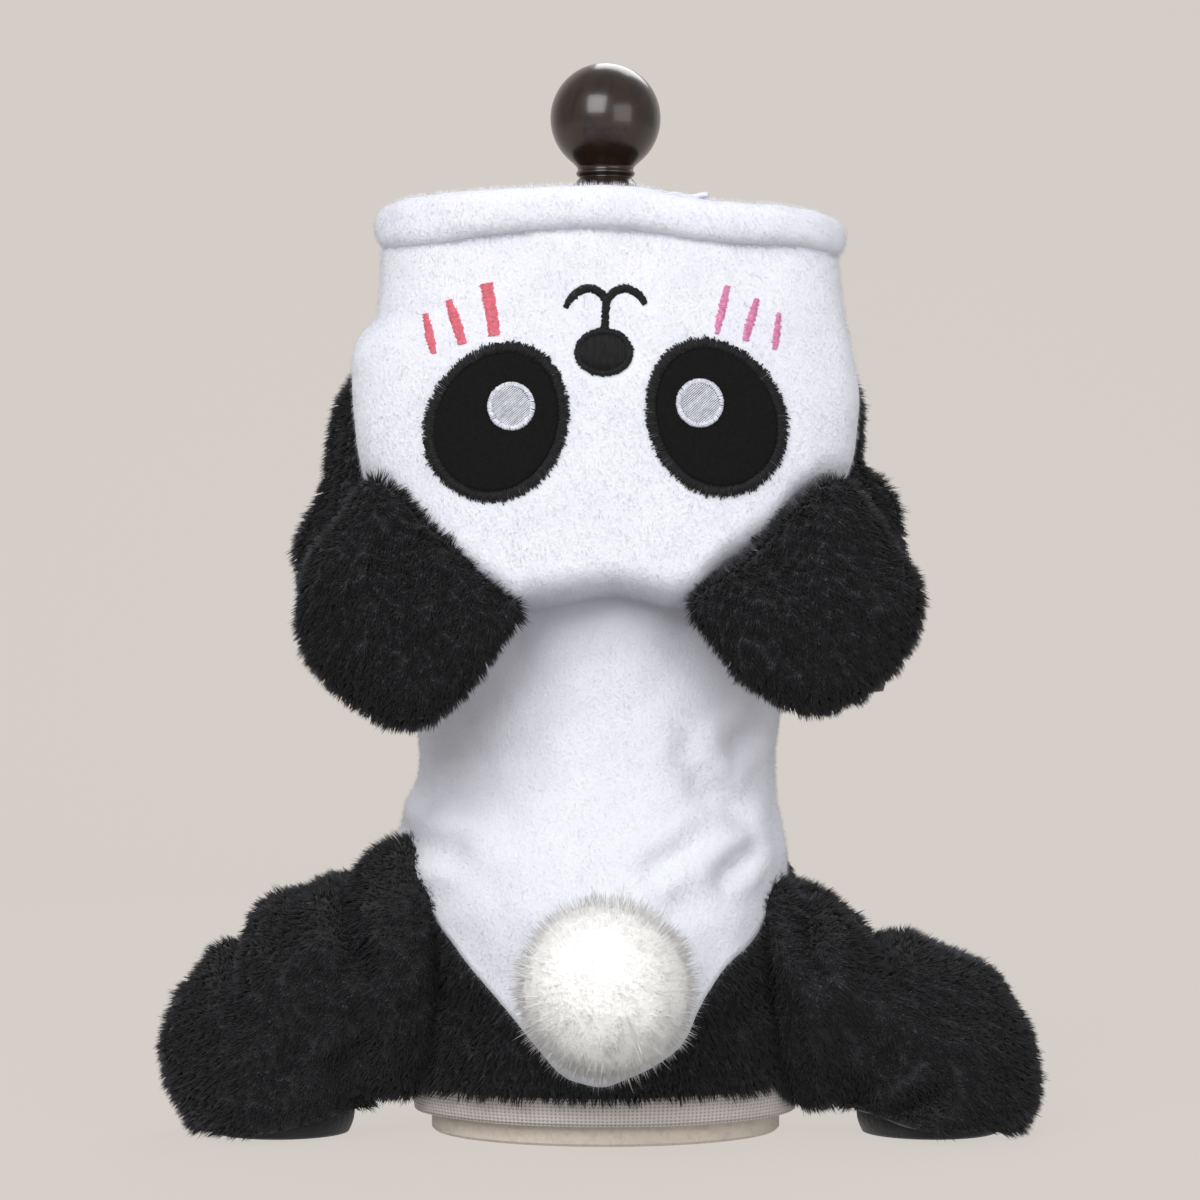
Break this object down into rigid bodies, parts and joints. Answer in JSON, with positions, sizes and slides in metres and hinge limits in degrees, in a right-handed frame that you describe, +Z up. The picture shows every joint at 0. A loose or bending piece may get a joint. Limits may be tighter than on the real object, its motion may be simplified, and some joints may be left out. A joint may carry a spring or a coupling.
{
  "type": "plush panda dog suit on a display form",
  "caption": "Hooded four-legged plush panda suit for a small dog on a knit-covered display form; hood, ears, sleeves, legs, pompom tail and wooden finial move.",
  "frame": {"origin": "middle of the base board's underside, on the table", "axes": "+Z up along the form's neck, -Y towards the suit's back and the hanging hood, +X to the right of someone who looks along +Y"},
  "size_m": [0.308, 0.1989, 0.3936],
  "materials": {
    "board": "sanded board",
    "moulded_shell": "moulded, unpainted",
    "knit_beige": "stockinette knit",
    "dark_wood": "dark walnut, gloss lacquer",
    "zinc_steel": "zinc plated",
    "plush_white": "short soft plush pile",
    "plush_black": "short soft plush pile with a sheen",
    "hood_lining": "brushed knit lining",
    "snap_plastic": "moulded snaps",
    "pompom_yarn": "long fluffy yarn",
    "tie_thread": "strong sewing thread",
    "black_thread": "satin stitched rayon thread",
    "white_thread": "satin stitched rayon thread",
    "coral_thread": "satin stitched rayon thread",
    "pink_thread": "satin stitched rayon thread",
    "black_felt": "short-nap felt",
    "stuffing": "polyester fibre filling"
  },
  "bodies": {
    "root": {"base_board": "board", "torso_shell": "moulded_shell", "torso_knit": "knit_beige", "neck_cap": "dark_wood", "finial_stud": "zinc_steel", "stud_nut": "zinc_steel", "back_panel": "plush_white", "collar": "plush_white", "nape_gusset": "plush_white", "belly_placket": "plush_white", "snap_caps": "snap_plastic", "snap_sockets": "snap_plastic", "tail_tie": "tie_thread", "left_belly_panel": "plush_white", "left_shoulder_panel": "plush_black", "left_rump_panel": "plush_black", "right_belly_panel": "plush_white", "right_shoulder_panel": "plush_black", "right_rump_panel": "plush_black"},
    "finial": {"finial_knob": "dark_wood"},
    "hood": {"hood_face": "plush_white", "hood_back": "plush_white", "hood_lining": "hood_lining", "hood_brim": "plush_white", "nose": "black_thread", "mouth": "black_thread", "left_eye_patch": "black_felt", "left_eye_rim": "black_thread", "left_pupil": "white_thread", "left_cheek_stripes": "coral_thread", "right_eye_patch": "black_felt", "right_eye_rim": "black_thread", "right_pupil": "white_thread", "right_cheek_stripes": "pink_thread"},
    "tail": {"tail_pompom": "pompom_yarn", "pompom_knot": "tie_thread"},
    "left_ear": {"left_ear_front": "plush_black", "left_ear_back": "plush_black", "left_ear_stuffing": "stuffing"},
    "left_sleeve": {"left_sleeve": "plush_black", "left_sleeve_cuff": "plush_black"},
    "left_leg": {"left_hind_leg": "plush_black", "left_hind_leg_cuff": "plush_black"},
    "right_ear": {"right_ear_front": "plush_black", "right_ear_back": "plush_black", "right_ear_stuffing": "stuffing"},
    "right_sleeve": {"right_sleeve": "plush_black", "right_sleeve_cuff": "plush_black"},
    "right_leg": {"right_hind_leg": "plush_black", "right_hind_leg_cuff": "plush_black"}
  },
  "joints": [
    {"name": "finial_turn", "type": "hinge", "parent": "root", "child": "finial", "pos_m": [0, 0, 0.345], "axis": [0, 0, 1], "continuous": true},
    {"name": "hood_lift", "type": "hinge", "parent": "root", "child": "hood", "pos_m": [0, -0.06142, 0.345], "axis": [-1, 0, 0], "range_deg": [0, 75]},
    {"name": "tail_tip", "type": "hinge", "parent": "root", "child": "tail", "pos_m": [0, -0.07246, 0.0824], "axis": [-1, 0, 0], "range_deg": [0, 35]},
    {"name": "left_ear_flip", "type": "hinge", "parent": "hood", "child": "left_ear", "pos_m": [-0.0589, -0.09542, 0.21305], "axis": [-0.7467, 0, 0.6652], "range_deg": [0, 80]},
    {"name": "left_sleeve_lift", "type": "hinge", "parent": "root", "child": "left_sleeve", "pos_m": [-0.0681, -0.008, 0.284], "axis": [0, 1, 0], "range_deg": [0, 75]},
    {"name": "left_leg_lift", "type": "hinge", "parent": "root", "child": "left_leg", "pos_m": [-0.0662, -0.01, 0.104], "axis": [0, 1, 0], "range_deg": [0, 45]},
    {"name": "right_ear_flip", "type": "hinge", "parent": "hood", "child": "right_ear", "pos_m": [0.0589, -0.09542, 0.21305], "axis": [-0.7467, 0, -0.6652], "range_deg": [0, 80]},
    {"name": "right_sleeve_lift", "type": "hinge", "parent": "root", "child": "right_sleeve", "pos_m": [0.0681, -0.008, 0.284], "axis": [0, -1, 0], "range_deg": [0, 75]},
    {"name": "right_leg_lift", "type": "hinge", "parent": "root", "child": "right_leg", "pos_m": [0.0662, -0.01, 0.104], "axis": [0, -1, 0], "range_deg": [0, 45]}
  ]
}
